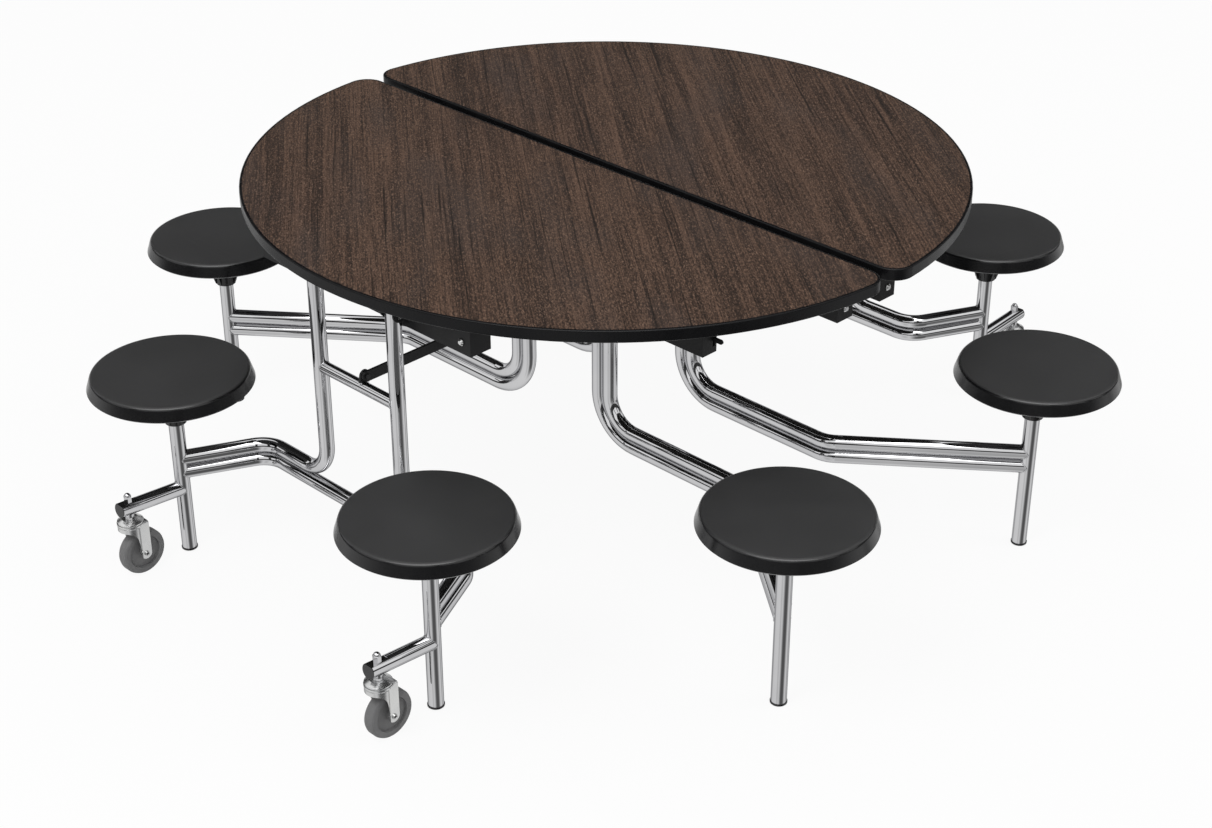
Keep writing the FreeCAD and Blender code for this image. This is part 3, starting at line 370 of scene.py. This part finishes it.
def addPiece(name, grids, body, slot, closeRows=False, capped=False):
    # Several grids of points in metres as one object, which rides on a body and takes a slot's finish.
    faces = []
    start = 0
    for grid in grids:
        faces += gridFaces(grid.shape[0], grid.shape[1], start, closeRows, capped)
        start += grid.shape[0] * grid.shape[1]
    mesh = bpy.data.meshes.new(name)
    mesh.from_pydata(np.concatenate([grid.reshape(-1, 3) for grid in grids]).tolist(), [], faces)
    mesh.shade_smooth()
    mesh.materials.append(materials[slot])
    piece = bpy.data.objects.new(name, mesh)
    bpy.context.scene.collection.objects.link(piece)
    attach(piece, body)


def weldBead(place, direction, postRadius, armRadius, look):
    # Bead round the end of an arm on an upright tube. The middle line is where the two cylinders meet:
    # at angle a round the arm, its distance t along the arm solves
    # (t cos b - r cos a sin b)^2 + (r sin a)^2 = R^2, with b the arm's slope. A circle whose radius
    # swells and shrinks "ripples" times is carried along that line.
    a = np.linspace(0, 2 * np.pi, look["steps"], endpoint=False)[:, None]
    direction = np.array(direction, float) / np.linalg.norm(direction)
    slopeSin = direction[2]
    slopeCos = math.hypot(direction[0], direction[1])
    ahead = np.array([direction[0], direction[1], 0]) / slopeCos
    side = np.array([-ahead[1], ahead[0], 0])
    upward = np.array([0, 0, slopeCos]) - ahead * slopeSin
    reach = np.sqrt((postRadius + look["lift"]) ** 2 - (armRadius * np.sin(a)) ** 2)
    along = (reach + armRadius * np.cos(a) * slopeSin) / slopeCos
    out = np.cos(a) * upward + np.sin(a) * side
    line = np.array(place) + along * direction + armRadius * out
    tangent = np.roll(line, -1, axis=0) - np.roll(line, 1, axis=0)
    tangent /= np.linalg.norm(tangent, axis=1, keepdims=True)
    second = np.cross(tangent, out)
    second /= np.linalg.norm(second, axis=1, keepdims=True)
    first = np.cross(second, tangent)
    size = look["size"] * (1 + look["swell"] * np.cos(look["ripples"] * a))
    turn = np.linspace(0, 2 * np.pi, look["around"], endpoint=False)[None, :, None]
    circle = np.cos(turn) * first[:, None, :] + np.sin(turn) * second[:, None, :]
    return line[:, None, :] + size[:, None, :] * circle


def addWelds():
    # Beads where arms meet the posts and where crossbars meet the legs. The places are those of one
    # quarter of the table, mirrored to the other three.
    look = {"steps": 108, "around": 8, "size": 0.0014, "swell": 0.08, "ripples": 33, "lift": 0.0002,
            "tube": 0.015875, "bar": 0.0127, "outerPost": (0.862, 0.394), "innerPost": (0.394, 0.850),
            "outerBend": (0.690, 0.310), "innerBend": (0.130, 0.520), "armHeights": (0.223, 0.19075),
            "casterHeight": 0.152, "casterSlope": (0.135, 0.0, 0.010), "outerBar": (0.690, 0.117, 0.480),
            "innerBar": (0.130, 0.10775, 0.5304)}
    for half, sx in (("west", -1), ("east", 1)):
        outer = []
        inner = []
        for sy in (-1, 1):
            mirror = np.array([sx, sy, 1.0])
            for group, post, bend in ((outer, look["outerPost"], look["outerBend"]),
                                      (inner, look["innerPost"], look["innerBend"])):
                towards = np.array([bend[0] - post[0], bend[1] - post[1], 0]) * mirror
                for height in look["armHeights"]:
                    place = np.array([*post, height]) * mirror
                    group.append(weldBead(place, towards, look["tube"], look["tube"], look))
            place = np.array([*look["outerPost"], look["casterHeight"]]) * mirror
            slope = np.array(look["casterSlope"]) * mirror
            outer.append(weldBead(place, slope, look["tube"], look["tube"], look))
            for group, bar in ((outer, look["outerBar"]), (inner, look["innerBar"])):
                group.append(weldBead(np.array(bar) * mirror, (0, -sy, 0), look["tube"], look["bar"], look))
        addPiece(half + "OuterWelds", outer, half + "_outer_frame", "chrome_tube", closeRows=True)
        addPiece(half + "InnerWelds", inner, half + "_inner_frame", "chrome_tube", closeRows=True)


def turnedProfile(place, axis, profile, around):
    # Profile of (radius, stand-off) pairs turned about an axis that is square to x: at angle a, a pair
    # lies radius * (cos a, sin a) from the axis and its stand-off along it.
    a = np.linspace(0, 2 * np.pi, around, endpoint=False)[:, None]
    right = np.array((1.0, 0.0, 0.0))
    ring = np.cos(a) * right + np.sin(a) * np.cross(axis, right)
    pairs = np.array(profile)[:, None, :]
    return np.array(place) + pairs[..., 0:1] * ring + pairs[..., 1:2] * np.array(axis)


def addScrews():
    # Pan-head screws that hang below the base plates of the leg brackets, each with a sunk socket. They
    # stand on both sides of each pivot, past the middles of the first and last tube that it holds.
    look = {"around": 12, "level": 0.708, "pivots": (0.690, 0.130), "fromPivot": 0.014,
            "tubes": ((0.117, 0.117), (0.10775, 0.140)), "fromTube": 0.024475, "axis": (0.0, 0.0, -1.0),
            "profile": ((0.0032, -0.0002), (0.0032, 0.0006), (0.0027, 0.0016), (0.0018, 0.0021),
                        (0.0014, 0.0021), (0.0013, 0.0010))}
    for half, sx in (("west", -1), ("east", 1)):
        heads = []
        for x, (first, last) in zip(look["pivots"], look["tubes"]):
            for sy in (-1, 1):
                for y in (first - look["fromTube"], last + look["fromTube"]):
                    for side in (-1, 1):
                        place = (sx * x + side * look["fromPivot"], sy * y, look["level"])
                        heads.append(turnedProfile(place, look["axis"], look["profile"], look["around"]))
        addPiece(half + "BracketScrews", heads, half + "_top", "zinc_steel", capped=True)


def addAxleEyes():
    # Rolled rims of the hollow axle rivets, and inside each a black disc: painted shade that stands in for
    # the dark hollow of the bore.
    look = {"around": 28, "axle": (0.979, 0.394, 0.050), "face": 0.0210,
            "rim": ((0.0052, -0.0004), (0.0053, 0.0004), (0.0050, 0.0010), (0.0043, 0.0012),
                    (0.0036, 0.0010), (0.0033, 0.0004), (0.0033, -0.0003)),
            "bore": ((0.0034, -0.0002), (0.0034, 0.0003), (0.0030, 0.0003))}
    for half, sx in (("west", -1), ("east", 1)):
        for row, sy in (("north", 1), ("south", -1)):
            rims = []
            bores = []
            for side in (-1, 1):
                x, y, z = look["axle"]
                place = (sx * x, sy * y + side * look["face"], z)
                axis = (0.0, side, 0.0)
                rims.append(turnedProfile(place, axis, look["rim"], look["around"]))
                bores.append(turnedProfile(place, axis, look["bore"], look["around"]))
            name = half + "Outer" + row.title()
            body = half + "_outer_" + row + "_caster"
            addPiece(name + "AxleRims", rims, body, "zinc_steel", capped=True)
            # The black discs are painted shade in the bores of the hollow rivets.
            addPiece(name + "AxleBoreShades", bores, body, "black_plastic", capped=True)


addWelds()
addScrews()
addAxleEyes()
print("stage 4: welds, screws and axle rims added")


def addStage(name, points, faces, material):
    # Flat piece that isn't part of the object.
    mesh = bpy.data.meshes.new(name)
    mesh.from_pydata(points, [], faces)
    mesh.materials.append(material)
    piece = bpy.data.objects.new(name, mesh)
    bpy.context.scene.collection.objects.link(piece)
    return piece


def buildFloor():
    # Pale floor: a plain matt surface, mixed with its own paleness for camera and transmission rays, so
    # that it shows near white and still keeps a soft part of the shadow. Reflections pass it and find
    # the studio's walls, which go on below its level.
    look = {"colour": (0.90, 0.90, 0.90, 1), "pale": (0.985, 0.985, 0.985, 1), "share": 0.94, "half": 30.0}
    material = bpy.data.materials.new("paleFloor")
    material.use_nodes = True
    tree = material.node_tree
    tree.nodes.clear()
    litTopColour = addNode(tree, "ShaderNodeBsdfDiffuse", {"Color": look["colour"]}).outputs[0]
    glow = addNode(tree, "ShaderNodeEmission", {"Color": look["pale"]}).outputs[0]
    rays = tree.nodes.new("ShaderNodeLightPath").outputs
    seen = mathNode(tree, "MAXIMUM", rays["Is Camera Ray"], rays["Is Transmission Ray"])
    share = mathNode(tree, "MULTIPLY", seen, look["share"])
    mixed = addNode(tree, "ShaderNodeMixShader", {0: share, 1: litTopColour, 2: glow}).outputs[0]
    link(tree, mixed, tree.nodes.new("ShaderNodeOutputMaterial").inputs["Surface"])
    h = look["half"]
    corners = [(-h, -h, 0), (h, -h, 0), (h, h, 0), (-h, h, 0)]
    floor = addStage("floor", corners, [(0, 1, 2, 3)], material)
    floor.visible_glossy = False


def buildZoneGroup():
    # How much light is left in one direction: 1 outside a patch of the studio wall, less inside it. The
    # patch is given by its middle azimuth, half width, lowest and highest elevation, all in degrees, and
    # the azimuth from its middle is wrapped to between -180 and 180 before its sign is dropped.
    inputs = [(name, "NodeSocketFloat", 0.0) for name in
              ("Azimuth", "Elevation", "Middle", "Half Width", "Low", "High", "Softness", "Darkness")]
    tree, given, result = newGroup("wallPatch", inputs, [("Light", "NodeSocketFloat")])
    away = mathNode(tree, "ADD", mathNode(tree, "SUBTRACT", given["Azimuth"], given["Middle"]), 540.0)
    away = mathNode(tree, "SUBTRACT", mathNode(tree, "FLOORED_MODULO", away, 360.0), 180.0)
    away = mathNode(tree, "ABSOLUTE", away)
    inside = None
    for value, edge, before, after in ((away, given["Half Width"], 1.0, 0.0),
                                       (given["Elevation"], given["High"], 1.0, 0.0),
                                       (given["Elevation"], given["Low"], 0.0, 1.0)):
        values = {"Value": value, "From Min": mathNode(tree, "SUBTRACT", edge, given["Softness"]),
                  "From Max": mathNode(tree, "ADD", edge, given["Softness"]),
                  "To Min": before, "To Max": after}
        step = addNode(tree, "ShaderNodeMapRange", values, interpolation_type="SMOOTHSTEP").outputs["Result"]
        inside = step if inside is None else mathNode(tree, "MULTIPLY", inside, step)
    shade = mathNode(tree, "MULTIPLY", inside, given["Darkness"])
    link(tree, mathNode(tree, "SUBTRACT", 1.0, shade), result["Light"])
    return tree


def buildWorld():
    # Even light on the object, white behind it, and a white studio with dark patches for reflections.
    # Each patch is (middle azimuth, half width, low, high, softness, darkness), and a negative darkness
    # is a bright window.
    look = {"light": (0.80, 0.80, 0.80, 1), "white": 0.985,
            "patches": ((45.0, 50.0, 7.0, 49.0, 1.5, 0.985), (225.0, 130.0, -3.0, 14.0, 2.0, 0.95),
                        (0.0, 200.0, -95.0, -4.0, 2.0, 0.16),
                        (122.0, 4.0, 6.0, 38.0, 1.5, 0.97), (179.0, 7.0, 8.0, 33.0, 1.5, 0.97),
                        (240.0, 4.0, 5.0, 39.0, 1.5, 0.97), (290.0, 6.0, 8.0, 32.0, 1.5, 0.97),
                        (324.0, 6.0, 8.0, 40.0, 1.5, 0.97), (256.0, 30.0, -62.0, -4.0, 18.0, 0.86),
                        (328.0, 5.0, -60.0, -8.0, 4.0, 0.60), (98.0, 13.0, -60.0, -12.0, 8.0, 0.42),
                        (12.0, 9.0, -60.0, -10.0, 6.0, 0.55), (196.0, 10.0, -55.0, -14.0, 9.0, 0.22),
                        (215.0, 56.0, 48.0, 80.0, 4.0, -3.8))}
    world = bpy.data.worlds.new("studio")
    bpy.context.scene.world = world
    world.use_nodes = True
    tree = world.node_tree
    tree.nodes.clear()
    direction = tree.nodes.new("ShaderNodeTexCoord").outputs["Generated"]
    parts = addNode(tree, "ShaderNodeSeparateXYZ", {"Vector": direction}).outputs
    azimuth = mathNode(tree, "DEGREES", mathNode(tree, "ARCTAN2", parts["Y"], parts["X"]))
    elevation = mathNode(tree, "DEGREES", mathNode(tree, "ARCSINE", parts["Z"]))
    patch = buildZoneGroup()
    level = look["white"]
    for middle, half, low, high, softness, darkness in look["patches"]:
        left = useGroup(tree, patch, {"Azimuth": azimuth, "Elevation": elevation, "Middle": middle,
                                      "Half Width": half, "Low": low, "High": high,
                                      "Softness": softness, "Darkness": darkness})["Light"]
        level = mathNode(tree, "MULTIPLY", left, level)
    rays = tree.nodes.new("ShaderNodeLightPath").outputs
    seen = mathNode(tree, "MAXIMUM", rays["Is Camera Ray"], rays["Is Transmission Ray"])
    white = (look["white"], look["white"], look["white"], 1)
    soft = addNode(tree, "ShaderNodeBackground", {"Color": look["light"], "Strength": 1.0}).outputs[0]
    behind = addNode(tree, "ShaderNodeBackground", {"Color": white, "Strength": 1.0}).outputs[0]
    walls = addNode(tree, "ShaderNodeBackground", {"Color": (1, 1, 1, 1), "Strength": level}).outputs[0]
    mixed = addNode(tree, "ShaderNodeMixShader", {0: rays["Is Glossy Ray"], 1: soft, 2: walls}).outputs[0]
    mixed = addNode(tree, "ShaderNodeMixShader", {0: seen, 1: mixed, 2: behind}).outputs[0]
    link(tree, mixed, tree.nodes.new("ShaderNodeOutputWorld").inputs["Surface"])


def addLamp(name, look):
    # Round area lamp that faces its target and isn't seen in reflections.
    lamp = bpy.data.lights.new(name, "AREA")
    lamp.shape = "DISK"
    lamp.size = look["size"]
    lamp.energy = look["power"]
    holder = bpy.data.objects.new(name, lamp)
    holder.location = look["place"]
    aim = np.array(look["target"], float) - np.array(look["place"], float)
    holder.rotation_mode = "QUATERNION"
    holder.rotation_quaternion = Vector(aim.tolist()).to_track_quat("-Z", "Y")
    holder.visible_glossy = False
    bpy.context.scene.collection.objects.link(holder)


def buildCamera():
    # Camera without roll. Its backward direction has the given azimuth and elevation, and the columns of
    # its matrix are its directions to the right, up and back.
    look = {"place": (-2.9890, -2.9401, 2.5046), "azimuth": math.radians(224.527),
            "elevation": math.radians(29.4585), "lens": 64.0, "clip": (0.05, 200.0)}
    camera = bpy.data.objects.new("camera", bpy.data.cameras.new("camera"))
    camera.data.lens = look["lens"]
    camera.data.clip_start, camera.data.clip_end = look["clip"]
    a = look["azimuth"]
    e = look["elevation"]
    right = np.array([-math.sin(a), math.cos(a), 0.0])
    back = np.array([math.cos(e) * math.cos(a), math.cos(e) * math.sin(a), math.sin(e)])
    matrix = np.eye(4)
    matrix[:3, :3] = np.array([right, np.cross(back, right), back]).T
    matrix[:3, 3] = look["place"]
    camera.matrix_world = Matrix(matrix.tolist())
    bpy.context.scene.collection.objects.link(camera)
    bpy.context.scene.camera = camera


lamps = {"keyLamp": {"place": (-3.2, -0.6, 4.2), "target": (0.0, 0.0, 0.6), "size": 2.2, "power": 90.0},
         "fillLamp": {"place": (2.4, -3.6, 3.0), "target": (0.0, 0.0, 0.5), "size": 2.6, "power": 45.0}}
buildFloor()
buildWorld()
for name, look in lamps.items():
    addLamp(name, look)
buildCamera()
bpy.context.scene.view_settings.view_transform = "Standard"
print("stage 5: studio set")
